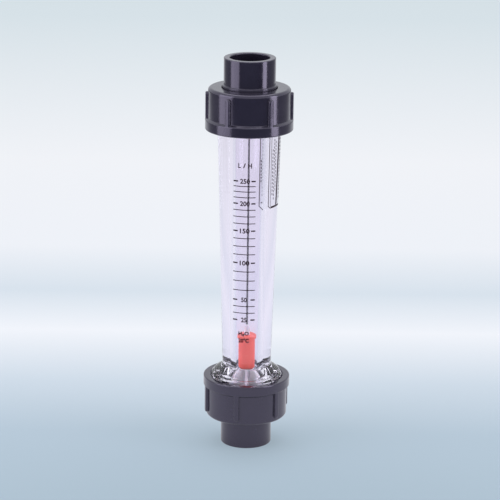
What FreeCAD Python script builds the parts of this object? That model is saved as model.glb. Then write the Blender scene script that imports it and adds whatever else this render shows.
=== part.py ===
"""In-line plastic rotameter for 20 mm pipe, with a union and a cemented pipe socket at each end.

A clear moulded body holds a tapered bore. A weighted float rides up a guide rod in the bore, and its
head is read against the scale on the outside of the body. Both ends of the body carry a male thread,
and a union nut draws the pipe socket up against the end of the body, onto an O-ring.

Millimetres. +Z is the way the water flows, from the inlet at Z = 0 to the outlet. The origin is the
centre of the inlet's pipe face, and the scale faces -Y. Azimuths are seen from above, from -Y towards +X.
"""
import FreeCAD, Part
import math
import os

from FreeCAD import Vector

# Overall
overall_length = 204.0        # pipe face to pipe face

# Pipe sockets, one at each end
pipe_diameter = 20.0
socket_clearance = 0.1        # radial room for cement
socket_wall = 3.0
socket_depth = 16.0
socket_chamfer = 0.4
pipe_stop_width = 2.1         # ledge that the pipe's end meets, round the flow passage
collar_step = 0.7             # how far the nut's centring collar stands out of the socket
collar_height = 1.4           # how far the collar shows outside the nut
flange_inset = 0.1            # how far the flange lies inside the root of the body's thread
flange_thickness = 4.5
seal_gap = 0.1                # left between flange and body when the nut is tight

# O-rings, squeezed in a groove in each socket's flange
o_ring_inset = 2.4            # middle of the ring's section in from the root of the body's thread
o_ring_width = 2.5
groove_depth = 1.7
groove_side_gap = 0.05

# Union nuts
nut_standoff = 15.2           # pipe face to the nut's outer face
nut_height = 21.5
nut_end_wall = 3.5
nut_seat_gap = 0.1            # between the nut's shoulder and the flange
nut_wall = 2.55               # outside the root of the nut's thread
nut_draft = 0.1               # how much wider the nut is at its band
nut_edge_rounding = 1.6
band_step = 1.3               # how far the band stands out of the nut's body
band_height = 5.1
band_shoulder = 0.9           # height of the slope between the band and the nut's body
band_rounding = 0.5
hole_rounding = 0.5
collar_gap = 0.3              # radial gap between the collar and the nut's hole
rib_count = 6
rib_width = 2.8
rib_end_gap = 2.4             # from the nut's outer face to the ribs' rounded ends
rib_below_band = 0.1          # how far the ribs' crests lie inside the band
rib_rounding = 0.7
outlet_rib_azimuth = 30.0
inlet_rib_azimuth = -13.5

# Union thread. The helix is left to the finish, so both sides are plain at the root of their thread.
thread_root_radius = 17.0     # male, on the body
thread_depth = 1.1
thread_side_gap = 0.25        # radial, crest of one side to root of the other
mouth_chamfer = 0.7

# Clear body
body_inlet_radius = 12.5      # just above the inlet flare
outlet_flare_step = 1.0       # the body's thread root out from its radius just below the outlet flare
thread_showing = 3.0          # male thread that shows above the inlet nut
inlet_flare_height = 3.0
outlet_flare_height = 1.2
outlet_flare_cover = 0.6      # how far the outlet flare sits inside the nut
flare_rounding = 1.2
seat_wall = 4.0               # body outside each spider's seat, at the root of the thread
seat_ledge = 1.8
chamber_depth = 5.0           # straight part above the spider's seat
inlet_cone_height = 8.4
outlet_cone_height = 6.5
float_clearance = 0.5         # radial, round the float's head at the narrow end of the bore
bore_widening = 1.5           # how much the bore's radius grows from its inlet to its outlet end

# Spiders that hold the guide rod, seated in the ends of the body
spider_side_gap = 0.1
spider_thickness = 3.0
spider_ring_width = 1.9
spider_arm_count = 6
spider_arm_width = 1.2
spider_hub_radius = 3.0
stem_step = 0.4               # from the hub in to the stem's root
stem_taper = 0.7              # from the stem's root in to its tip
vane_shoulder_step = 1.4      # from the ring's inside in to the vanes' shoulder
vane_shoulder_height = 4.0    # from the ring's inner face to the vanes' shoulder
vane_tip_step = 1.6           # how far the vanes stand out of the stem's tip
lower_stem_length = 11.9
upper_stem_length = 12.5

# Guide rod, its nuts, its washers and the rubber stops
rod_radius = 0.5
rod_chamfer = 0.2
rod_end_length = 0.8          # rod beyond each nut
rod_fit_gap = 0.03            # in the spiders, washers, nuts and stops
rod_nut_flats = 3.0
rod_nut_height = 1.0
washer_radius = 1.9
washer_thickness = 0.3
stop_radius = 2.4
stop_height = 1.9
stop_rounding = 0.4
stop_gap = 0.1                # between float and lower stop at rest

# Float
float_length = 18.5
float_radius = 4.25
float_head_overhang = 0.65    # radial, reading head beyond the shell
float_head_height = 1.2
float_nose_taper = 1.05       # radial
float_nose_height = 1.5
float_wall = 0.75
float_fit_gap = 0.03
weight_hole_radius = 1.2
neck_radius = 1.5
neck_height = 5.6             # how far the upper bush's neck stands above the float's head
neck_tip_height = 0.8         # cone at the top of the neck
neck_tip_wall = 0.2
float_cap_thickness = 0.8
upper_bush_plug = 1.9         # from the float's top to the underside of the upper bush
lower_bush_radius = 1.9
lower_bush_flange = 1.0
bush_running_gap = 0.08       # radial, bush on rod
upper_stop_clearance = 0.3    # left above the float at the top of its travel

# Clear data label, left blank, on the right of the scale
label_near_azimuth = 20.0
label_far_azimuth = 108.0
label_nut_gap = 0.8           # from the outlet nut's rim to the top of the label
label_height = 38.2
label_thickness = 0.2
label_glue_line = 0.02
label_corner = 2.2

AXIS = Vector(0, 0, 1)
ORIGIN = Vector(0, 0, 0)

# Radii worked out from the sizes above
socket_bore_radius = pipe_diameter / 2 + socket_clearance
socket_radius = socket_bore_radius + socket_wall
passage_radius = socket_bore_radius - pipe_stop_width
collar_radius = socket_radius + collar_step
flange_radius = thread_root_radius - flange_inset
o_ring_mean_radius = thread_root_radius - o_ring_inset
nut_hole_radius = collar_radius + collar_gap
nut_thread_radius = thread_root_radius + thread_depth + thread_side_gap
nut_radius = nut_thread_radius + nut_wall
band_radius = nut_radius + nut_draft + band_step
body_outlet_radius = thread_root_radius - outlet_flare_step
seat_radius = thread_root_radius - seat_wall
chamber_radius = seat_radius - seat_ledge
spider_radius = seat_radius - spider_side_gap
stem_root_radius = spider_hub_radius - stem_step
stem_tip_radius = stem_root_radius - stem_taper
rod_hole_radius = rod_radius + rod_fit_gap
bush_hole_radius = rod_radius + bush_running_gap
float_head_radius = float_radius + float_head_overhang
float_nose_radius = float_radius - float_nose_taper
float_cavity_radius = float_radius - float_wall
bore_inlet_radius = float_head_radius + float_clearance
bore_outlet_radius = bore_inlet_radius + bore_widening

# Heights worked out from the inlet's pipe face; the outlet end is the same, turned over.
nut_inner_face = nut_standoff + nut_end_wall
flange_outer_face = nut_inner_face + nut_seat_gap
flange_inner_face = flange_outer_face + flange_thickness
body_end = flange_inner_face + seal_gap
nut_rim = nut_standoff + nut_height
band_bottom = nut_rim - band_height
spider_outer_face = body_end + seal_gap
spider_inner_face = spider_outer_face + spider_thickness
washer_outer_face = spider_outer_face - washer_thickness
rod_nut_outer_face = washer_outer_face - rod_nut_height

# Heights along the clear body
thread_top = nut_rim + thread_showing
flare_top = thread_top + inlet_flare_height
outlet_nut_rim = overall_length - nut_rim
outlet_flare_bottom = outlet_nut_rim + outlet_flare_cover
outlet_flare_top = outlet_flare_bottom + outlet_flare_height
label_top = outlet_nut_rim - label_nut_gap
label_bottom = label_top - label_height

# Heights along the guide rod, with the float at rest
lower_stop_bottom = spider_inner_face + lower_stem_length
upper_stop_bottom = overall_length - spider_inner_face - upper_stem_length - stop_height
float_bottom = lower_stop_bottom + stop_height + stop_gap
float_floor = float_bottom + float_nose_height
float_top = float_bottom + float_length
neck_top = float_top + neck_height
float_travel = upper_stop_bottom - upper_stop_clearance - neck_top


def outline(corners):
    """Closed wire in the XZ plane through (radius, height) corners; a third number rounds that corner."""
    points = [Vector(c[0], 0, c[1]) for c in corners]
    roundings = [c[2] if len(c) > 2 else 0.0 for c in corners]
    edges = []
    first = last = None
    for i, corner in enumerate(points):
        back = (points[i - 1] - corner).normalize()
        ahead = (points[(i + 1) % len(points)] - corner).normalize()
        start = end = corner
        arc = None
        if roundings[i] > 0:
            half = back.getAngle(ahead) / 2
            cut = roundings[i] / math.tan(half)
            start = corner + back * cut
            end = corner + ahead * cut
            middle_way = (back + ahead).normalize()
            middle = corner + middle_way * (roundings[i] / math.sin(half) - roundings[i])
            arc = Part.Arc(start, middle, end).toShape()
        if last is None:
            first = start
        elif last.distanceToPoint(start) > 1e-6:
            edges.append(Part.LineSegment(last, start).toShape())
        if arc:
            edges.append(arc)
        last = end
    if last.distanceToPoint(first) > 1e-6:
        edges.append(Part.LineSegment(last, first).toShape())
    return Part.Wire(edges)


def turned(corners, azimuth_from=None, azimuth_to=None):
    """Solid of revolution about Z from an outline, all round or between two azimuths."""
    face = Part.Face(outline(corners))
    if azimuth_from is None:
        return face.revolve(ORIGIN, AXIS, 360)
    face.rotate(ORIGIN, AXIS, azimuth_from - 90)
    return face.revolve(ORIGIN, AXIS, azimuth_to - azimuth_from)


def turned_over(shape):
    """The same piece at the outlet end: turned over about the middle of the meter."""
    copy = shape.copy()
    copy.rotate(Vector(0, 0, overall_length / 2), Vector(1, 0, 0), 180)
    return copy


def at_azimuth(shape, azimuth):
    """A piece that was made facing -Y, turned round to an azimuth."""
    copy = shape.copy()
    copy.rotate(ORIGIN, AXIS, azimuth)
    return copy


def body_radius(height):
    """Outside radius of the clear body's tapered stretch."""
    share = (height - flare_top) / (outlet_flare_bottom - flare_top)
    return body_inlet_radius + share * (body_outlet_radius - body_inlet_radius)


def metering_tube():
    """The clear body: threaded ends, flares, spider seats, chambers and the tapered bore."""
    top = overall_length - body_end
    top_seat = overall_length - spider_inner_face
    inlet_cone_start = spider_inner_face + chamber_depth
    outlet_cone_start = top_seat - chamber_depth
    return turned([
        (seat_radius, body_end),
        (thread_root_radius, body_end, mouth_chamfer),
        (thread_root_radius, thread_top, flare_rounding),
        (body_inlet_radius, flare_top, flare_rounding),
        (body_outlet_radius, outlet_flare_bottom),
        (thread_root_radius, outlet_flare_top),
        (thread_root_radius, top, mouth_chamfer),
        (seat_radius, top),
        (seat_radius, top_seat),
        (chamber_radius, top_seat),
        (chamber_radius, outlet_cone_start, flare_rounding),
        (bore_outlet_radius, outlet_cone_start - outlet_cone_height, flare_rounding),
        (bore_inlet_radius, inlet_cone_start + inlet_cone_height, flare_rounding),
        (chamber_radius, inlet_cone_start, flare_rounding),
        (chamber_radius, spider_inner_face),
        (seat_radius, spider_inner_face),
    ])


def pipe_socket():
    """Union end: the socket for the pipe, the nut's collar and the flange with its O-ring groove."""
    groove_in = o_ring_mean_radius - o_ring_width / 2 - groove_side_gap
    groove_out = o_ring_mean_radius + o_ring_width / 2 + groove_side_gap
    collar_start = nut_standoff - collar_height
    return turned([
        (socket_bore_radius + socket_chamfer, 0),
        (socket_radius, 0, socket_chamfer),
        (socket_radius, collar_start),
        (collar_radius, collar_start, collar_step / 2),
        (collar_radius, flange_outer_face),
        (flange_radius, flange_outer_face),
        (flange_radius, flange_inner_face),
        (groove_out, flange_inner_face),
        (groove_out, flange_inner_face - groove_depth),
        (groove_in, flange_inner_face - groove_depth),
        (groove_in, flange_inner_face),
        (passage_radius, flange_inner_face),
        (passage_radius, socket_depth),
        (socket_bore_radius, socket_depth),
        (socket_bore_radius, socket_chamfer),
    ])


def o_ring():
    """The seal as it lies when the nut is tight: squeezed flat between groove and body."""
    bottom = flange_inner_face - groove_depth
    top = body_end - seal_gap / 2
    inside = o_ring_mean_radius - o_ring_width / 2
    outside = o_ring_mean_radius + o_ring_width / 2
    round_side = 0.49 * (top - bottom)
    return turned([
        (inside, bottom, round_side),
        (outside, bottom, round_side),
        (outside, top, round_side),
        (inside, top, round_side),
    ])


def grip_rib():
    """One grip rib at azimuth 0: a bar with a rounded end that runs into the band."""
    crest = band_radius - rib_below_band
    root = (nut_thread_radius + nut_radius) / 2
    tip = nut_standoff + rib_end_gap
    half = rib_width / 2
    left_low = Vector(-half, -root, tip + half)
    right_low = Vector(half, -root, tip + half)
    right_high = Vector(half, -root, band_bottom + half)
    left_high = Vector(-half, -root, band_bottom + half)
    wire = Part.Wire([
        Part.Arc(left_low, Vector(0, -root, tip), right_low).toShape(),
        Part.LineSegment(right_low, right_high).toShape(),
        Part.LineSegment(right_high, left_high).toShape(),
        Part.LineSegment(left_high, left_low).toShape(),
    ])
    rib = Part.Face(wire).extrude(Vector(0, root - crest, 0))
    crest_edges = [
        e for e in rib.Edges
        if all(abs(v.Y + crest) < 1e-6 for v in e.Vertexes) and e.BoundBox.ZMin < band_bottom
    ]
    return rib.makeFillet(rib_rounding, crest_edges)


def union_nut(rib_azimuth):
    """Union nut: shoulder with the socket's hole, thread cavity, ribs and the band at its open end."""
    nut = turned([
        (nut_hole_radius, nut_standoff, hole_rounding),
        (nut_radius, nut_standoff, nut_edge_rounding),
        (nut_radius + nut_draft, band_bottom - band_shoulder),
        (band_radius, band_bottom, band_rounding),
        (band_radius, nut_rim, band_rounding),
        (nut_thread_radius + mouth_chamfer, nut_rim),
        (nut_thread_radius, nut_rim - mouth_chamfer),
        (nut_thread_radius, nut_inner_face),
        (nut_hole_radius, nut_inner_face),
    ])
    rib = grip_rib()
    ribs = [at_azimuth(rib, rib_azimuth + i * 360 / rib_count) for i in range(rib_count)]
    return nut.fuse(ribs).removeSplitter()


def rod_spider(stem_length):
    """Spider: ring, hub with a stem that reaches in to the rubber stop, and vanes that brace the stem."""
    stem_end = spider_inner_face + stem_length
    ring = turned([
        (spider_radius - spider_ring_width, spider_outer_face),
        (spider_radius, spider_outer_face),
        (spider_radius, spider_inner_face),
        (spider_radius - spider_ring_width, spider_inner_face),
    ])
    hub = turned([
        (0, spider_outer_face),
        (spider_hub_radius, spider_outer_face),
        (spider_hub_radius, spider_inner_face),
        (stem_root_radius, spider_inner_face),
        (stem_tip_radius, stem_end),
        (0, stem_end),
    ])
    arm_reach = spider_radius - spider_ring_width / 2
    shoulder = spider_radius - spider_ring_width - vane_shoulder_step
    vane = Part.Face(outline([
        (0, spider_outer_face),
        (arm_reach, spider_outer_face),
        (arm_reach, spider_inner_face),
        (spider_radius - spider_ring_width, spider_inner_face),
        (shoulder, spider_inner_face + vane_shoulder_height),
        (stem_tip_radius + vane_tip_step, stem_end),
        (0, stem_end),
    ])).extrude(Vector(0, spider_arm_width, 0))
    vane.translate(Vector(0, -spider_arm_width / 2, 0))
    vane.rotate(ORIGIN, AXIS, -90)
    arms = [at_azimuth(vane, i * 360 / spider_arm_count) for i in range(spider_arm_count)]
    rod_hole = Part.makeCylinder(rod_hole_radius, overall_length)
    return ring.fuse([hub] + arms).cut(rod_hole).removeSplitter()


def rubber_stop(bottom):
    """Rubber ring on the rod that the float comes down or up against."""
    return turned([
        (rod_hole_radius, bottom),
        (stop_radius, bottom, stop_rounding),
        (stop_radius, bottom + stop_height, stop_rounding),
        (rod_hole_radius, bottom + stop_height),
    ])


def rod_washer():
    """Plain washer between a rod nut and its spider."""
    return turned([
        (rod_hole_radius, washer_outer_face),
        (washer_radius, washer_outer_face),
        (washer_radius, spider_outer_face),
        (rod_hole_radius, spider_outer_face),
    ])


def rod_nut():
    """Hex nut on the end of the rod, chamfered at its outer corners."""
    corner_radius = rod_nut_flats / math.sqrt(3)
    chamfer = corner_radius - rod_nut_flats / 2
    corners = [
        Vector(corner_radius * math.cos(math.radians(a)), corner_radius * math.sin(math.radians(a)),
               rod_nut_outer_face)
        for a in range(0, 361, 60)
    ]
    hexagon = Part.Face(Part.makePolygon(corners)).extrude(Vector(0, 0, rod_nut_height))
    envelope = turned([
        (rod_hole_radius, rod_nut_outer_face),
        (rod_nut_flats / 2, rod_nut_outer_face),
        (corner_radius, rod_nut_outer_face + chamfer),
        (corner_radius, washer_outer_face),
        (rod_hole_radius, washer_outer_face),
    ])
    return hexagon.common(envelope)


def guide_rod():
    """Straight polished rod from nut to nut, with chamfered ends."""
    low = rod_nut_outer_face - rod_end_length
    high = overall_length - low
    return turned([
        (0, low),
        (rod_radius - rod_chamfer, low),
        (rod_radius, low + rod_chamfer),
        (rod_radius, high - rod_chamfer),
        (rod_radius - rod_chamfer, high),
        (0, high),
    ])


def float_shell():
    """Outside of the float: a cup with a reading head round its rim and a tapered nose."""
    return turned([
        (lower_bush_radius + float_fit_gap, float_bottom),
        (float_nose_radius, float_bottom),
        (float_radius, float_floor),
        (float_radius, float_top - float_head_height),
        (float_head_radius, float_top - float_head_height),
        (float_head_radius, float_top),
        (float_cavity_radius, float_top),
        (float_cavity_radius, float_floor),
        (lower_bush_radius + float_fit_gap, float_floor),
    ])


def float_weight():
    """Steel weight that fills the shell between its two bushes."""
    outside = float_cavity_radius - float_fit_gap
    bottom = float_floor + lower_bush_flange
    top = float_top - upper_bush_plug
    return turned([
        (weight_hole_radius, bottom),
        (outside, bottom),
        (outside, top),
        (weight_hole_radius, top),
    ])


def float_upper_bush():
    """Plug under the float's cap, with a neck that guides the float on the rod."""
    plug = float_cavity_radius - float_fit_gap
    shoulder = float_top - float_cap_thickness
    return turned([
        (bush_hole_radius, float_top - upper_bush_plug),
        (plug, float_top - upper_bush_plug),
        (plug, shoulder),
        (neck_radius, shoulder),
        (neck_radius, neck_top - neck_tip_height),
        (bush_hole_radius + neck_tip_wall, neck_top),
        (bush_hole_radius, neck_top),
    ])


def float_cap():
    """Ring that closes the shell over the upper bush, flush with the reading head."""
    inside = neck_radius + float_fit_gap
    outside = float_cavity_radius - float_fit_gap
    bottom = float_top - float_cap_thickness
    return turned([
        (inside, bottom),
        (outside, bottom),
        (outside, float_top),
        (inside, float_top),
    ])


def float_lower_bush():
    """Flanged bush in the float's nose."""
    flange = float_cavity_radius - float_fit_gap
    return turned([
        (bush_hole_radius, float_bottom),
        (lower_bush_radius, float_bottom),
        (lower_bush_radius, float_floor),
        (flange, float_floor),
        (flange, float_floor + lower_bush_flange),
        (bush_hole_radius, float_floor + lower_bush_flange),
    ])


def data_label():
    """Clear label wrapped on the body, with its two lower corners cut off."""
    inside_low = body_radius(label_bottom) + label_glue_line
    inside_high = body_radius(label_top) + label_glue_line
    film = turned([
        (inside_low, label_bottom),
        (inside_low + label_thickness, label_bottom),
        (inside_high + label_thickness, label_top),
        (inside_high, label_top),
    ], label_near_azimuth, label_far_azimuth)
    reach = 2 * inside_high
    for azimuth, side in ((label_near_azimuth, 1), (label_far_azimuth, -1)):
        corner = Part.makePolygon([
            Vector(-side * label_corner, 0, label_bottom - label_corner),
            Vector(side * 2 * label_corner, 0, label_bottom - label_corner),
            Vector(-side * label_corner, 0, label_bottom + 2 * label_corner),
            Vector(-side * label_corner, 0, label_bottom - label_corner),
        ])
        wedge = Part.Face(corner).extrude(Vector(0, -reach, 0))
        film = film.cut(at_azimuth(wedge, azimuth))
    return film


def build():
    """Every node of the meter by name."""
    socket = pipe_socket()
    seal = o_ring()
    washer = rod_washer()
    nut = rod_nut()
    return {
        "metering_tube": metering_tube(),
        "data_label": data_label(),
        "guide_rod": guide_rod(),
        "lower_rod_spider": rod_spider(lower_stem_length),
        "upper_rod_spider": turned_over(rod_spider(upper_stem_length)),
        "lower_rubber_stop": rubber_stop(lower_stop_bottom),
        "upper_rubber_stop": rubber_stop(upper_stop_bottom),
        "lower_rod_washer": washer,
        "upper_rod_washer": turned_over(washer),
        "lower_rod_nut": nut,
        "upper_rod_nut": turned_over(nut),
        "float_shell": float_shell(),
        "float_weight": float_weight(),
        "float_cap": float_cap(),
        "float_upper_bush": float_upper_bush(),
        "float_lower_bush": float_lower_bush(),
        "inlet_socket": socket,
        "outlet_socket": turned_over(socket),
        "inlet_o_ring": seal,
        "outlet_o_ring": turned_over(seal),
        "inlet_union_nut": union_nut(inlet_rib_azimuth),
        "outlet_union_nut": turned_over(union_nut(180 - outlet_rib_azimuth)),
    }


def main():
    print("float travel", round(float_travel, 2))
    os.makedirs("parts", exist_ok=True)
    for name, shape in build().items():
        solids = shape.Solids
        whole = solids[0] if len(solids) == 1 else Part.makeCompound(solids)
        print(name, "solids", len(solids), "valid", whole.isValid(), "mm3", round(whole.Volume, 1))
        whole.exportStep("parts/" + name + ".step")


main()
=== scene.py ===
import math

import bmesh
import bpy
import numpy as np
from mathutils import Matrix, Vector


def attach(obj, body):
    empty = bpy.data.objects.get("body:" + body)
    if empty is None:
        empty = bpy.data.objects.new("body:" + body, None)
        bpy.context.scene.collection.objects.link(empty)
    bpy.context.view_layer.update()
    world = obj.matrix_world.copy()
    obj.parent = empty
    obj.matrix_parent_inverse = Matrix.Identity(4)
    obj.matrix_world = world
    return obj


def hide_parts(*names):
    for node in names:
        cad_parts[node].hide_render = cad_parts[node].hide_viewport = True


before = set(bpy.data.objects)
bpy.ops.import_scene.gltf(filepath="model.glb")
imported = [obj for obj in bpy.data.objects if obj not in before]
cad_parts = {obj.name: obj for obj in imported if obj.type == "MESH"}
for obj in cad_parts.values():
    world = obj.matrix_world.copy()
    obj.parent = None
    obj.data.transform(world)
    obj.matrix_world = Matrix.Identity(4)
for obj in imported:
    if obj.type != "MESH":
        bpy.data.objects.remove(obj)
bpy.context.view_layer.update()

# In-line plastic rotameter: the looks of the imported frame. +Z is the way the water flows, and azimuths
# turn round it from -Y, the reader's side, towards +X. Pieces are worked out in millimetres and turned
# into metres as they become a mesh. Finishes, floor shades, lamps and camera are in metres.
MM = 0.001

# Clear body, as in the frame
OVERALL = 204.0
BODY_END = 23.4
THREAD_ROOT = 17.0
THREAD_TOP = 39.7
FLARE_TOP = 42.7
INLET_RADIUS = 12.5
OUTLET_RADIUS = 16.0
OUTLET_FLARE = (167.9, 169.1)
SEAT_RADIUS = 13.0
SEAT_DEPTH = 3.1
CHAMBER_RADIUS = 11.2
CHAMBER_DEPTH = 5.0
INLET_CONE = 8.4
OUTLET_CONE = 6.5
INLET_BORE = 5.4
OUTLET_BORE = 6.9
MOUTH_CHAMFER = 0.7
ROUNDING = 1.2

# Threads of the clear body
THREAD_PITCH = 3.0
THREAD_DEPTH = 1.1
THREAD_FLAT = 0.28          # share of the pitch that is flat, at the root and again at the crest
INLET_THREAD = (24.6, 39.1)
OUTLET_THREAD = (169.4, 179.4)
THREAD_RUN_IN = 1.2
THREAD_RUN_OUT = 1.0

# Threads of the union nuts
NUT_THREAD_ROOT = 18.35
NUT_THREAD_CREST = 17.25
NUT_THREAD_FOOT = 0.3       # how deep the ridge is rooted in the nut
NUT_THREAD_HALF = {"foot": 1.2, "root": 1.03, "crest": 0.36}    # half widths of the ridge
NUT_THREAD_RANGE = (21.8, 35.6)
NUT_THREAD_FADE = 0.8       # radians over which each end of the ridge grows out of the nut

# Fineness of the turned and swept surfaces
ROUND_COLUMNS = 192
TURN_COLUMNS = 96
ARC_STEPS = 10
ROW_STEP = 0.2
ROWS_BELOW_FLARE = 0.75     # the rows of the inlet thread end here, under the flare's rounding
ROWS_ABOVE_FLARE = 0.1
SHARP_DEGREES = 25          # edges that turn by more than this stay sharp

# Ink on the clear body: words are (text, middle along the surface, height, cap height, width)
INK_LIFT = (0.004, 0.03)    # underside and face of the ink, above what it is printed on
INK_STEP = 0.8              # spacing of the points along a printed line
LETTER_BOLDNESS = 0.03      # share of a letter's size that its outline grows by
NOTE_BOLDNESS = 0.045
SCALE_AZIMUTH = -8.0
SCALE_HALF = 5.75
NUMBERED_FLOWS = (25, 50, 100, 150, 200, 250)
FINE_PARTS = (3, 4, 4, 4, 4)    # so many parts lie between one numbered flow and the next
FLOW_ZERO = 58.567
FLOW_RISE = 0.4738
FLOW_SLOWING = 0.000533
FINE_LINE = 0.42
NUMBER_LINE = 0.72
NUMBER_LINE_LEFT = 2.5
NUMBER_LINE_RIGHT = 2.2
NUMBER_CAP = 2.6
DIGIT_WIDTH = 2.1
NUMBER_TRIM = 1.3           # the last digit of a number has no gap after it
DIGIT_SHIFT = 0.15          # longer numbers stand a little further right
NUMBER_SHIFT = -0.1
UNIT_WORDS = (("L", -2.5, 151.8, 2.6, 1.3), ("/", 0.0, 151.8, 2.6, 1.5), ("H", 2.85, 151.8, 2.6, 1.9))
FLUID_WORDS = (("H₂O", 0.1, 62.5, 2.5, 5.4), ("20°C", 0.1, 58.9, 2.4, 5.4))

# Ink on the label, mostly print and partly painted shade, measured along its face from its near edge and up
# from its bottom
LABEL_AZIMUTH = 20.0
LABEL_BOTTOM = 128.3
LABEL_TALL = 38.2
LABEL_FACE = 0.22
LABEL_RULES = (             # width of the line and its corners
    (0.34, ((0.25, LABEL_TALL), (0.25, 2.3), (2.3, 0.25))),
    (0.40, ((5.6, LABEL_TALL), (5.6, 1.5), (6.9, 0.4), (11.0, 0.4), (17.0, 0.4))),
    (0.22, ((7.0, LABEL_TALL), (7.0, 1.2))),
    # The two thick strokes at the foot and the wide slanted bar are ink for a dark slanted edge and the
    # shade along it, so partly painted shade.
    (0.90, ((7.2, 0.75), (11.2, 0.75))),
    (0.70, ((11.6, 0.55), (16.0, 0.55))),
    (1.50, ((13.6, LABEL_TALL), (12.2, 0.6))))
LABEL_ROWS = (              # place along the face, lowest dash, end of the row, pitch
    (0.95, 14.8, 26.5, 1.75), (8.1, 7.0, 31.0, 1.9), (9.3, 4.5, 35.0, 1.9),
    (10.5, 9.0, 34.0, 1.9), (15.2, 4.0, 35.0, 1.9), (16.6, 4.0, 35.0, 1.9))
DASH_WIDTH = 0.45
DASH_SHARE = 0.62           # of the pitch

# Studio floor: shades are (y, colour)
FLOOR_HALF = 4000.0
FLOOR_LINES = 9
FLOOR_DROP = 0.1            # millimetres, so that the floor and the meter's foot don't share a plane
FLOOR_SEEN = (
    (-0.60, (0.78, 0.83, 0.88)), (-0.30, (0.70, 0.77, 0.83)), (-0.13, (0.40, 0.51, 0.58)),
    (0.01, (0.47, 0.58, 0.66)), (0.09, (0.63, 0.72, 0.79)), (0.18, (0.90, 0.93, 0.96)),
    (0.26, (0.71, 0.79, 0.85)), (0.36, (0.90, 0.93, 0.96)), (0.60, (0.95, 0.97, 0.99)),
    (1.20, (0.80, 0.89, 0.93)))
FLOOR_MIRRORED = (
    (-0.60, (0.10, 0.12, 0.15)), (-0.36, (0.22, 0.26, 0.30)), (-0.24, (0.92, 0.92, 0.96)),
    (-0.06, (0.86, 0.88, 0.93)), (0.18, (0.90, 0.93, 0.96)), (0.60, (0.95, 0.97, 0.99)))
FLOOR_THROUGH_GLASS = (0.93, 0.92, 0.98, 1)
THROUGH_GLASS_SHARE = 0.5
MIRRORED_SIDE = (0.46, 0.72)        # distance from the meter over which its mirror image darkens
MIRRORED_SIDE_SHADE = (0.28, 0.28, 0.28, 1)
FLOOR_OWN_SHADE = 0.55              # share of what the floor shows that is its own and not lit

# Air and lamps: a lamp is its power in watts, colour, width and height, place, and the point it faces
AIR_COLOUR = (0.93, 0.955, 1.0, 1)
AIR_AS_LIGHT = 0.58
AIR_AS_SEEN = 0.92
LAMPS = {
    "left_sheet": (1.08, (0.92, 0.88, 1.0), (0.37, 0.42), (-0.42, -0.165, 0.25), (0, 0, 0.19)),
    "right_strip": (0.86, (0.92, 0.88, 1.0), (0.17, 0.42), (0.42, -0.16, 0.25), (0, 0, 0.19)),
    "top_sheet": (4.1, (0.96, 0.92, 1.0), (0.9, 0.9), (0.0, 0.35, 1.1), (0, 0.1, 0.0)),
}

# Camera: its shift is in image widths, its tilt and lean in degrees
LENS_MM = 166.3
SENSOR_MM = 36.0
CAMERA_SHIFT = (0.0045, 0.0130)
CAMERA_PLACE = (0, -1.1351, 0.4356)
CAMERA_TILT = 73.532
CAMERA_LEAN = 0.647
CAMERA_NEAR = 0.01

# Sockets of the colour side of a Mix node
MIX_FIRST, MIX_SECOND, MIX_RESULT = 6, 7, 2


# ---------------------------------------------------------------- shader maths
class Wire:
    """A shader socket for Python arithmetic: each operator adds the Math node that works it out."""

    def __init__(self, nodes, socket):
        self.nodes = nodes
        self.socket = socket

    def math(self, operation, *others, clamp=False):
        settings = {"operation": operation, "use_clamp": clamp}
        return self.nodes.node("ShaderNodeMath", settings, dict(enumerate((self, *others))))

    def __add__(self, other):
        return self.math("ADD", other)

    def __sub__(self, other):
        return self.math("SUBTRACT", other)

    def __rsub__(self, other):
        return self * -1.0 + other

    def __mul__(self, other):
        return self.math("MULTIPLY", other)

    __radd__ = __add__
    __rmul__ = __mul__


class Nodes:
    """A node tree, emptied and built up again from its output."""

    def __init__(self, tree, output):
        self.tree = tree
        self.tree.nodes.clear()
        self.output = self.tree.nodes.new(output)

    def node(self, kind, settings, inputs, output=0):
        """Adds a node: its settings first, then the values or links of its sockets."""
        node = self.tree.nodes.new(kind)
        for key, value in settings.items():
            if key == "stops":
                ramp = node.color_ramp.elements
                while len(ramp) < len(value):
                    ramp.new(0.5)
                for stop, (position, colour) in zip(ramp, value):
                    stop.position = position
                    stop.color = colour
            else:
                setattr(node, key, value)
        self.feed(node, inputs)
        return Wire(self, node.outputs[output])

    def feed(self, node, inputs):
        """Links or sets sockets of a node."""
        for key, value in inputs.items():
            if isinstance(value, Wire):
                self.tree.links.new(value.socket, node.inputs[key])
            else:
                node.inputs[key].default_value = value

    def ray(self, kind):
        """1 for rays of one kind and 0 for others."""
        return self.node("ShaderNodeLightPath", {}, {}, f"Is {kind} Ray")

    def seen(self):
        """1 for rays that show a surface: straight, mirrored or through something clear."""
        return self.ray("Camera").math("MAXIMUM", self.ray("Glossy")).math(
            "MAXIMUM", self.ray("Transmission"))

    def finish_with(self, surface):
        """Links what the tree ends in."""
        self.feed(self.output, {"Surface": surface})


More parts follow.
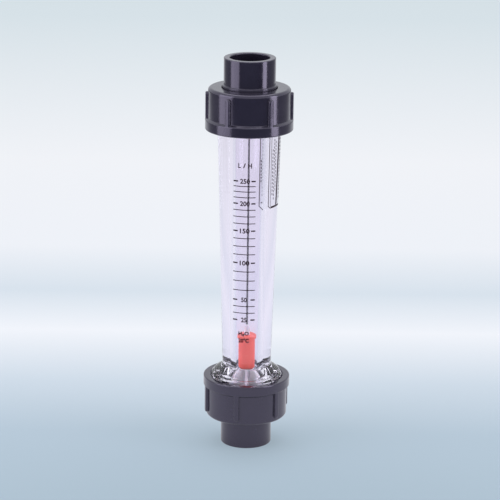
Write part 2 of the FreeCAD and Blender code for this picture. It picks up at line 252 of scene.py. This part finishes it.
class Finish(Nodes):
    """One material. Values that are the same all over go on the shader's own sockets."""

    def __init__(self, name, **constants):
        self.material = bpy.data.materials.new(name)
        self.material.use_nodes = True
        super().__init__(self.material.node_tree, "ShaderNodeOutputMaterial")
        self.shader = self.node("ShaderNodeBsdfPrincipled", {}, constants)
        self.surface = self.shader

    def noise(self, scale, detail=2.0, roughness=0.5, stretch=(1, 1, 1)):
        """Noise from 0 to 1 whose blobs are about 1 / scale metres. It lies on Object coordinates times
        stretch, so an axis with less than 1 has longer blobs and one with more has shorter ones."""
        plain = self.node("ShaderNodeTexCoord", {}, {}, "Object")
        stretched = self.node("ShaderNodeMapping", {}, {"Vector": plain, "Scale": stretch})
        return self.node("ShaderNodeTexNoise", {}, {
            "Vector": stretched, "Scale": scale, "Detail": detail, "Roughness": roughness})

    def spread(self, value, low, high):
        """value, from 0 to 1, spread between low and high."""
        return value * (high - low) + low

    def blend(self, share, first, second, how="MIX"):
        """Colour between first and second."""
        return self.node("ShaderNodeMix", {"data_type": "RGBA", "blend_type": how}, {
            "Factor": share, MIX_FIRST: first, MIX_SECOND: second}, MIX_RESULT)

    def bump(self, height, depth, under=None):
        """Normal of a surface whose relief is height times depth, laid over the normal under it."""
        inputs = {"Height": height, "Distance": depth}
        if under is not None:
            inputs["Normal"] = under
        return self.node("ShaderNodeBump", {}, inputs)

    def mix_shaders(self, share, second):
        """The surface becomes a mix of itself and a second shader."""
        self.surface = self.node("ShaderNodeMixShader", {}, {0: share, 1: self.surface, 2: second})

    def lets_lamps_through(self, tint):
        """Shadow rays pass straight through, so that lamps light what the clear plastic encloses."""
        clear = self.node("ShaderNodeBsdfTransparent", {}, {"Color": (*tint, 1)})
        self.mix_shaders(self.ray("Shadow"), clear)

    def done(self, **varying):
        """The material, with what varies over the surface linked to the shader."""
        self.feed(self.shader.socket.node, {key.replace("_", " "): wire for key, wire in varying.items()})
        self.finish_with(self.surface)
        return self.material

    def clouded(self, pattern, colours, roughness, normal):
        """The material, with its colour and roughness following one pattern between two ends."""
        dark, light = colours
        return self.done(Base_Color=self.blend(pattern, (*dark, 1), (*light, 1)),
                         Roughness=self.spread(pattern, *roughness), Normal=normal)


# ---------------------------------------------------------------- finishes
def clear_acrylic():
    """Moulded clear acrylic: a faint lilac cast and the slow waviness of a moulded face."""
    f = Finish("clear_acrylic", **{
        "Base Color": (0.91, 0.875, 0.955, 1), "Transmission Weight": 1.0, "IOR": 1.49})
    waves = f.noise(55, detail=1.0, roughness=0.4, stretch=(1, 1, 0.25))
    f.lets_lamps_through((0.98, 0.97, 1.0))
    return f.done(Roughness=f.spread(f.noise(900), 0.0, 0.012), Normal=f.bump(waves, 0.00002))


def clear_film():
    """Clear label film."""
    f = Finish("clear_film", **{
        "Base Color": (0.95, 0.95, 0.97, 1), "Transmission Weight": 1.0, "IOR": 1.45})
    f.lets_lamps_through((0.93, 0.93, 0.95))
    return f.done(Roughness=f.spread(f.noise(1500), 0.02, 0.08),
                  Normal=f.bump(f.noise(300, detail=1.0), 0.00001))


def grey_pvc():
    """Glossy dark grey moulded PVC with a fine skin, faint flow marks and softened edges."""
    f = Finish("grey_pvc", **{
        "IOR": 1.53, "Specular IOR Level": 0.8, "Specular Tint": (0.86, 0.81, 1.0, 1)})
    edges = f.node("ShaderNodeBevel", {"samples": 6}, {"Radius": 0.0004})
    flow = f.bump(f.noise(260, stretch=(1, 1, 0.35)), 0.00003, edges)
    skin = f.bump(f.noise(2600), 0.000006, flow)
    cloud = f.noise(120, detail=3.0, roughness=0.6)
    return f.clouded(cloud, ((0.018, 0.0155, 0.028), (0.024, 0.020, 0.036)), (0.10, 0.20), skin)


def red_plastic():
    """Bright red float plastic."""
    f = Finish("red_plastic", **{"Subsurface Weight": 0.15, "Subsurface Scale": 0.001})
    return f.clouded(f.noise(400), ((0.97, 0.12, 0.08), (1.0, 0.16, 0.11)), (0.28, 0.42),
                     f.bump(f.noise(1800), 0.00001))


def natural_plastic():
    """Undyed ivory plastic of the spiders and bushes."""
    f = Finish("natural_plastic", **{"Subsurface Weight": 0.1, "Subsurface Scale": 0.001})
    return f.clouded(f.noise(300), ((0.68, 0.66, 0.66), (0.78, 0.765, 0.77)), (0.35, 0.5),
                     f.bump(f.noise(1600), 0.00001))


def stainless_steel():
    """Drawn and turned stainless steel with fine marks round the axis."""
    f = Finish("stainless_steel", Metallic=1.0)
    marks = f.noise(60, detail=3.0, roughness=0.7, stretch=(1, 1, 60))
    return f.clouded(marks, ((0.16, 0.155, 0.165), (0.26, 0.255, 0.265)), (0.16, 0.34),
                     f.bump(marks, 0.000004))


def white_silicone():
    """White silicone rubber of the float's two stops."""
    f = Finish("white_silicone", **{"Subsurface Weight": 0.2, "Subsurface Scale": 0.001})
    return f.clouded(f.noise(600, detail=3.0, roughness=0.6), ((0.62, 0.61, 0.64), (0.76, 0.75, 0.78)),
                     (0.4, 0.6), f.bump(f.noise(2500), 0.00001))


def black_rubber():
    """Moulded black rubber with a dull bloom."""
    f = Finish("black_rubber", **{"Sheen Weight": 0.15})
    bloom = f.noise(500, detail=3.0, roughness=0.6)
    return f.clouded(bloom, ((0.012, 0.012, 0.013), (0.028, 0.028, 0.030)), (0.5, 0.75),
                     f.bump(f.noise(3000), 0.00001))


def scale_ink():
    """Screen-printed dark ink, a little uneven."""
    f = Finish("scale_ink", **{"Specular IOR Level": 0.2})
    patches = f.noise(1400, detail=3.0, roughness=0.6)
    return f.clouded(patches, ((0.016, 0.006, 0.010), (0.036, 0.012, 0.020)), (0.5, 0.7),
                     f.bump(patches, 0.000004))


def floor_bands(f, along, shades):
    """Colour from (y, colour) stops, blended along Y."""
    low, high = shades[0][0], shades[-1][0]
    stops = [((y - low) / (high - low), (*shade, 1)) for y, shade in shades]
    return f.node("ShaderNodeValToRGB", {"stops": stops}, {"Fac": (along - low) * (1 / (high - low))})


def studio_floor():
    """Pale floor in soft bands along Y, partly lit and partly of its own shade, so that it stays pale.
    Glossy plastic mirrors darker bands and sides, and through clear plastic the bands are softer."""
    f = Finish("studio_floor", **{"Specular IOR Level": 0.1, "Roughness": 0.9})
    spot = f.node("ShaderNodeTexCoord", {}, {}, "Object")
    across = f.node("ShaderNodeSeparateXYZ", {}, {"Vector": spot}, "X")
    along = f.node("ShaderNodeSeparateXYZ", {}, {"Vector": spot}, "Y")
    side = f.node("ShaderNodeMapRange", {"interpolation_type": "SMOOTHSTEP"}, {
        "Value": across.math("ABSOLUTE"), "From Min": MIRRORED_SIDE[0], "From Max": MIRRORED_SIDE[1]})
    mirrored = f.blend(side, floor_bands(f, along, FLOOR_MIRRORED), MIRRORED_SIDE_SHADE, "MULTIPLY")
    through = f.ray("Transmission")
    seen = f.blend(through * THROUGH_GLASS_SHARE, floor_bands(f, along, FLOOR_SEEN), FLOOR_THROUGH_GLASS)
    shade = f.blend(f.ray("Glossy").math("SUBTRACT", through, clamp=True), seen, mirrored)
    f.mix_shaders(f.seen() * FLOOR_OWN_SHADE, f.node("ShaderNodeEmission", {}, {"Color": shade}))
    return f.done(Base_Color=shade)


FINISHES = {finish.__name__: finish() for finish in (
    clear_acrylic, clear_film, grey_pvc, red_plastic, natural_plastic, stainless_steel, black_rubber,
    white_silicone)}
INK = scale_ink()


# ---------------------------------------------------------------- surfaces
def add_object(name, data):
    """A new object at the origin."""
    thing = bpy.data.objects.new(name, data)
    bpy.context.scene.collection.objects.link(thing)
    return thing


def add_mesh(name, points, faces, material):
    """An object at the origin from points in millimetres and faces, shaded flat."""
    mesh = bpy.data.meshes.new(name)
    mesh.from_pydata((np.reshape(points, (-1, 3)) * MM).tolist(), [], faces)
    mesh.materials.append(material)
    return add_object(name, mesh)


def add_shell(name, points, faces, material, smooth=False):
    """A mesh object whose double points are merged and whose faces are turned outwards."""
    piece = add_mesh(name, points, faces.tolist(), material)
    shell = bmesh.new()
    shell.from_mesh(piece.data)
    bmesh.ops.remove_doubles(shell, verts=shell.verts, dist=1e-7)
    bmesh.ops.recalc_face_normals(shell, faces=shell.faces)
    shell.to_mesh(piece.data)
    shell.free()
    if smooth:
        piece.data.shade_smooth()
        piece.data.set_sharp_from_angle(angle=math.radians(SHARP_DEGREES))
    return piece


def grid_faces(rows, columns, round_rows=False, round_columns=False):
    """Faces of a grid: each cell is one face, and a round direction joins its last line to its first."""
    index = np.arange(rows * columns).reshape(rows, columns)
    if round_rows:
        index = np.vstack([index, index[:1]])
    if round_columns:
        index = np.hstack([index, index[:, :1]])
    cells = np.stack([index[:-1, :-1], index[:-1, 1:], index[1:, 1:], index[1:, :-1]], axis=-1)
    return cells.reshape(-1, 4)


def place(piece, body):
    """The piece moves with body."""
    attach(piece, body)


def polar(radius, azimuth, height):
    """Points from radius, azimuth in radians and height: x = r sin a, y = -r cos a, z = h."""
    radius, azimuth, height = np.broadcast_arrays(radius, azimuth, height)
    return np.stack([radius * np.sin(azimuth), -radius * np.cos(azimuth), height], axis=-1)


def rounded(corners):
    """Open path through (radius, height) corners; a third number rounds that corner with an arc.

    An arc is centre + rounding * (start sin((1 - t) w) + end sin(t w)) / sin w, for t from 0 to 1,
    where start and end are unit vectors from the arc's centre and w is the angle between them."""
    points = np.array([corner[:2] for corner in corners], float)
    path = [points[:1]]
    t = np.linspace(0, 1, ARC_STEPS + 1)[:, None]
    for i in range(1, len(corners) - 1):
        if len(corners[i]) == 2:
            path.append(points[i:i + 1])
            continue
        rounding = corners[i][2]
        back, ahead = points[i - 1] - points[i], points[i + 1] - points[i]
        back, ahead = back / np.linalg.norm(back), ahead / np.linalg.norm(ahead)
        half = math.acos(float(np.clip(back @ ahead, -1, 1))) / 2
        middle = (back + ahead) / np.linalg.norm(back + ahead)
        centre = points[i] + middle * rounding / math.sin(half)
        start = (points[i] + back * rounding / math.tan(half) - centre) / rounding
        end = (points[i] + ahead * rounding / math.tan(half) - centre) / rounding
        w = math.pi - 2 * half
        path.append(centre + rounding * (start * np.sin((1 - t) * w) + end * np.sin(t * w)) / math.sin(w))
    path.append(points[-1:])
    return np.vstack(path)


# ---------------------------------------------------------------- clear body and threads
def thread_ridge(height, azimuth, low, high):
    """Share of the full thread depth: a trapezium wave of z / pitch - azimuth / 2 pi that fades out at
    low and high."""
    phase = np.mod(height / THREAD_PITCH - azimuth / (2 * math.pi), 1.0)
    wave = np.clip((np.abs(2 * phase - 1) - THREAD_FLAT) / (1 - 2 * THREAD_FLAT), 0, 1)
    run_in = np.clip((height - low) / THREAD_RUN_IN, 0, 1)
    run_out = np.clip((high - height) / THREAD_RUN_OUT, 0, 1)
    return wave * run_in * run_out


def metering_body():
    """The clear body: a closed profile turned about Z, with r = root + depth * ridge along the threads."""
    top = OVERALL - BODY_END
    seat, top_seat = BODY_END + SEAT_DEPTH, top - SEAT_DEPTH
    cone, top_cone = seat + CHAMBER_DEPTH, top_seat - CHAMBER_DEPTH
    inlet_rows = np.arange(BODY_END + MOUTH_CHAMFER, THREAD_TOP - ROWS_BELOW_FLARE, ROW_STEP)
    outlet_rows = np.arange(OUTLET_FLARE[1] + ROWS_ABOVE_FLARE, top - MOUTH_CHAMFER, ROW_STEP)
    outside = rounded(
        [(SEAT_RADIUS, BODY_END), (THREAD_ROOT - MOUTH_CHAMFER, BODY_END)]
        + [(THREAD_ROOT, z) for z in inlet_rows]
        + [(THREAD_ROOT, THREAD_TOP, ROUNDING), (INLET_RADIUS, FLARE_TOP, ROUNDING),
           (OUTLET_RADIUS, OUTLET_FLARE[0]), (THREAD_ROOT, OUTLET_FLARE[1])]
        + [(THREAD_ROOT, z) for z in outlet_rows]
        + [(THREAD_ROOT - MOUTH_CHAMFER, top), (SEAT_RADIUS, top)])
    inside = rounded([
        (SEAT_RADIUS, top_seat), (CHAMBER_RADIUS, top_seat),
        (CHAMBER_RADIUS, top_cone, ROUNDING), (OUTLET_BORE, top_cone - OUTLET_CONE, ROUNDING),
        (INLET_BORE, cone + INLET_CONE, ROUNDING), (CHAMBER_RADIUS, cone, ROUNDING),
        (CHAMBER_RADIUS, seat), (SEAT_RADIUS, seat)])
    profile = np.vstack([outside, inside])
    azimuth = np.linspace(0, 2 * math.pi, ROUND_COLUMNS, endpoint=False)
    height, angle = np.meshgrid(profile[:, 1], azimuth, indexing="ij")
    on_thread = np.isclose(profile[:, 0], THREAD_ROOT)[:, None]
    ridge = thread_ridge(height, angle, *INLET_THREAD) + thread_ridge(height, angle, *OUTLET_THREAD)
    points = polar(profile[:, :1] + THREAD_DEPTH * ridge * on_thread, angle, height)
    piece = add_shell("metering_body", points, grid_faces(*points.shape[:2], True, True),
                      FINISHES["clear_acrylic"], smooth=True)
    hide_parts("metering_tube")
    place(piece, "meter_body")


def nut_thread(name, body, low, high):
    """Female thread: a trapezium section swept along z = pitch * (azimuth / 2 pi + 1/2) at a constant
    radius, and drawn down to nothing at both ends."""
    foot = NUT_THREAD_ROOT + NUT_THREAD_FOOT
    half = [(foot, NUT_THREAD_HALF["foot"]), (NUT_THREAD_ROOT, NUT_THREAD_HALF["root"]),
            (NUT_THREAD_CREST, NUT_THREAD_HALF["crest"])]
    section = np.array(half + [(radius, -above) for radius, above in half[::-1]])
    start, stop = [(z / THREAD_PITCH - 0.5) * 2 * math.pi for z in (low, high)]
    angle = np.linspace(start, stop, int((stop - start) / (2 * math.pi) * TURN_COLUMNS))[:, None]
    grown = (np.clip((angle - start) / NUT_THREAD_FADE, 0, 1)
             * np.clip((stop - angle) / NUT_THREAD_FADE, 0, 1))
    height = THREAD_PITCH * (angle / (2 * math.pi) + 0.5)
    points = polar(foot + (section[:, 0] - foot) * grown, angle, height + section[:, 1] * grown)
    piece = add_shell(name, points, grid_faces(*points.shape[:2], False, True), FINISHES["grey_pvc"],
                      smooth=True)
    place(piece, body)


# ---------------------------------------------------------------- printed scale and label
def on_body(along, height, lift, azimuth=SCALE_AZIMUTH):
    """Points on the tapered stretch, whose radius grows evenly with the height: along is the arc length
    from an azimuth in degrees, and lift stands off the surface."""
    radius = np.interp(height, (FLARE_TOP, OUTLET_FLARE[0]), (INLET_RADIUS, OUTLET_RADIUS))
    return polar(radius + lift, math.radians(azimuth) + along / radius, height)


def run(*corners):
    """Path through (arc length, height) corners with evenly spaced points, each start + t (end - start)."""
    corners = np.array(corners, float)
    pieces = [corners[:1]]
    for start, end in zip(corners[:-1], corners[1:]):
        count = max(1, round(float(np.linalg.norm(end - start)) / INK_STEP))
        pieces.append(start + (end - start) * (np.arange(1, count + 1) / count)[:, None])
    return np.vstack(pieces)


def printed_strips(name, strips, face=0.0, azimuth=SCALE_AZIMUTH):
    """Thin raised strips on the body, each from a path and a width: the sides lie half the width along
    the path's normal, and the section is a flat box that stands on a face above the body."""
    points, faces, count = [], [], 0
    low, high = INK_LIFT[0] + face, INK_LIFT[1] + face
    for path, width in strips:
        ahead = np.gradient(path, axis=0)
        ahead /= np.linalg.norm(ahead, axis=1, keepdims=True)
        side = np.stack([-ahead[:, 1], ahead[:, 0]], axis=-1) * width / 2
        ring = np.stack([path - side, path + side, path + side, path - side], axis=1)
        points.append(on_body(ring[..., 0], ring[..., 1], np.array([low, low, high, high]), azimuth))
        ends = np.array([[3, 2, 1, 0], np.arange(4) + 4 * (len(path) - 1)])
        faces.append(np.vstack([grid_faces(len(path), 4, False, True), ends]) + count)
        count += 4 * len(path)
    piece = add_shell(name, np.vstack([p.reshape(-1, 3) for p in points]), np.vstack(faces), INK)
    place(piece, "meter_body")


def letters(text, boldness):
    """Points and faces of one line of raised letters, scaled to 1 each way round the origin."""
    curve = bpy.data.curves.new("lettering", "FONT")
    curve.body = text
    curve.extrude = 0.5
    curve.offset = boldness
    curve.resolution_u = 3
    lettering = add_object("lettering", curve)
    bpy.context.view_layer.update()
    mesh = bpy.data.meshes.new_from_object(lettering)
    points = np.empty(len(mesh.vertices) * 3)
    mesh.vertices.foreach_get("co", points)
    points = points.reshape(-1, 3)
    corners = np.empty(len(mesh.loops), np.int32)
    mesh.loops.foreach_get("vertex_index", corners)
    starts = np.empty(len(mesh.polygons), np.int32)
    mesh.polygons.foreach_get("loop_start", starts)
    bpy.data.objects.remove(lettering)
    bpy.data.meshes.remove(mesh)
    bpy.data.curves.remove(curve)
    low, high = points.min(0), points.max(0)
    return (points - (low + high) / 2) / (high - low), np.split(corners, starts[1:])


def printed_words(name, words, boldness=LETTER_BOLDNESS):
    """Words of ink on the body: each letter's x is laid along the surface, its y up and its z outwards."""
    points, faces, count = [], [], 0
    for text, middle, height, cap, width in words:
        share, rings = letters(text, boldness)
        lift = INK_LIFT[0] + (share[:, 2] + 0.5) * (INK_LIFT[1] - INK_LIFT[0])
        points.append(on_body(middle + share[:, 0] * width, height + share[:, 1] * cap, lift))
        faces += [(ring + count).tolist() for ring in rings]
        count += len(share)
    place(add_mesh(name, np.vstack(points), faces, INK), "meter_body")


def flow_height(flow):
    """Height of a flow mark: zero + rise * flow - slowing * flow squared, because the float rises less
    for each litre as the bore widens."""
    return FLOW_ZERO + FLOW_RISE * flow - FLOW_SLOWING * flow * flow


def printed_number(flow):
    """The words of one flow's number, as wide as its digits need."""
    digits = len(str(flow))
    return (str(flow), DIGIT_SHIFT * digits + NUMBER_SHIFT, flow_height(flow), NUMBER_CAP,
            DIGIT_WIDTH * digits - NUMBER_TRIM)


def printed_scale():
    """Flow marks in litres per hour, with their numbers, the unit and the fluid it holds for."""
    fine = [low + (high - low) * i / parts
            for low, high, parts in zip(NUMBERED_FLOWS, NUMBERED_FLOWS[1:], FINE_PARTS)
            for i in range(1, parts)]
    marks = [(run((-SCALE_HALF, z), (SCALE_HALF, z)), FINE_LINE) for z in map(flow_height, fine)]
    for z in map(flow_height, NUMBERED_FLOWS):
        marks += [(run((-SCALE_HALF, z), (-SCALE_HALF + NUMBER_LINE_LEFT, z)), NUMBER_LINE),
                  (run((SCALE_HALF - NUMBER_LINE_RIGHT, z), (SCALE_HALF, z)), NUMBER_LINE)]
    printed_strips("scale_marks", marks)
    printed_words("scale_numbers", map(printed_number, NUMBERED_FLOWS))
    printed_words("scale_unit", UNIT_WORDS)
    printed_words("fluid_note", FLUID_WORDS, NOTE_BOLDNESS)


def label_print():
    """Rules and blank rows of dashes on the label's outer face: a margin line, a frame with a cut corner,
    and a dark side bar with thick strokes at its foot, which paints an edge with painted shade along it."""
    rules = [(run(*corners), width) for width, corners in LABEL_RULES]
    dashes = [(run((along, z), (along, z + DASH_SHARE * pitch)), DASH_WIDTH)
              for along, low, high, pitch in LABEL_ROWS for z in np.arange(low, high, pitch)]
    for name, strips in (("label_rules", rules), ("label_rows", dashes)):
        raised = [(path + np.array([0, LABEL_BOTTOM]), width) for path, width in strips]
        printed_strips(name, raised, LABEL_FACE, LABEL_AZIMUTH)


# ---------------------------------------------------------------- studio
def pale_floor():
    """A flat grid z = const under the meter, which stands on its inlet end."""
    side = np.linspace(-FLOOR_HALF, FLOOR_HALF, FLOOR_LINES)
    x, y = np.meshgrid(side, side, indexing="xy")
    points = np.stack([x, y, np.full_like(x, -FLOOR_DROP)], axis=-1)
    floor = add_shell("studio_floor", points, grid_faces(FLOOR_LINES, FLOOR_LINES), studio_floor())
    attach(floor, "inlet_end")


def pale_air():
    """Air that is brighter where it is seen than as light on the meter."""
    world = bpy.data.worlds.new("studio_air")
    bpy.context.scene.world = world
    world.use_nodes = True
    air = Nodes(world.node_tree, "ShaderNodeOutputWorld")
    level = air.node("ShaderNodeMapRange", {}, {
        "Value": air.seen(), "To Min": AIR_AS_LIGHT, "To Max": AIR_AS_SEEN})
    air.finish_with(air.node("ShaderNodeBackground", {}, {"Color": AIR_COLOUR, "Strength": level}))


def lamps():
    """Sheets and a strip of soft light."""
    for name, (power, colour, size, spot, aim) in LAMPS.items():
        lamp = bpy.data.lights.new(name, "AREA")
        lamp.shape = "RECTANGLE"
        lamp.size, lamp.size_y = size
        lamp.energy = power
        lamp.color = colour
        holder = add_object(name, lamp)
        holder.location = spot
        holder.rotation_euler = (Vector(aim) - Vector(spot)).to_track_quat("-Z", "Y").to_euler()


def camera():
    """A long lens a little above the meter, leaning by less than a degree."""
    lens = bpy.data.cameras.new("camera")
    lens.lens = LENS_MM
    lens.sensor_width = SENSOR_MM
    lens.shift_x, lens.shift_y = CAMERA_SHIFT
    lens.clip_start = CAMERA_NEAR
    holder = add_object("camera", lens)
    holder.matrix_world = (Matrix.Translation(CAMERA_PLACE)
                           @ Matrix.Rotation(math.radians(CAMERA_TILT), 4, "X")
                           @ Matrix.Rotation(math.radians(CAMERA_LEAN), 4, "Z"))
    bpy.context.scene.camera = holder


# ---------------------------------------------------------------- the meter in its studio
label_print()
metering_body()
nut_thread("inlet_nut_thread", "inlet_nut", *NUT_THREAD_RANGE)
nut_thread("outlet_nut_thread", "outlet_nut", OVERALL - NUT_THREAD_RANGE[1], OVERALL - NUT_THREAD_RANGE[0])
printed_scale()

# Each of the frame's own nodes takes the finish of its slot.
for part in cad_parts.values():
    for finish_slot in part.material_slots:
        finish_slot.material = FINISHES[finish_slot.material.name.split(".")[0]]

pale_floor()
pale_air()
lamps()
camera()
bpy.context.scene.view_settings.view_transform = "Standard"
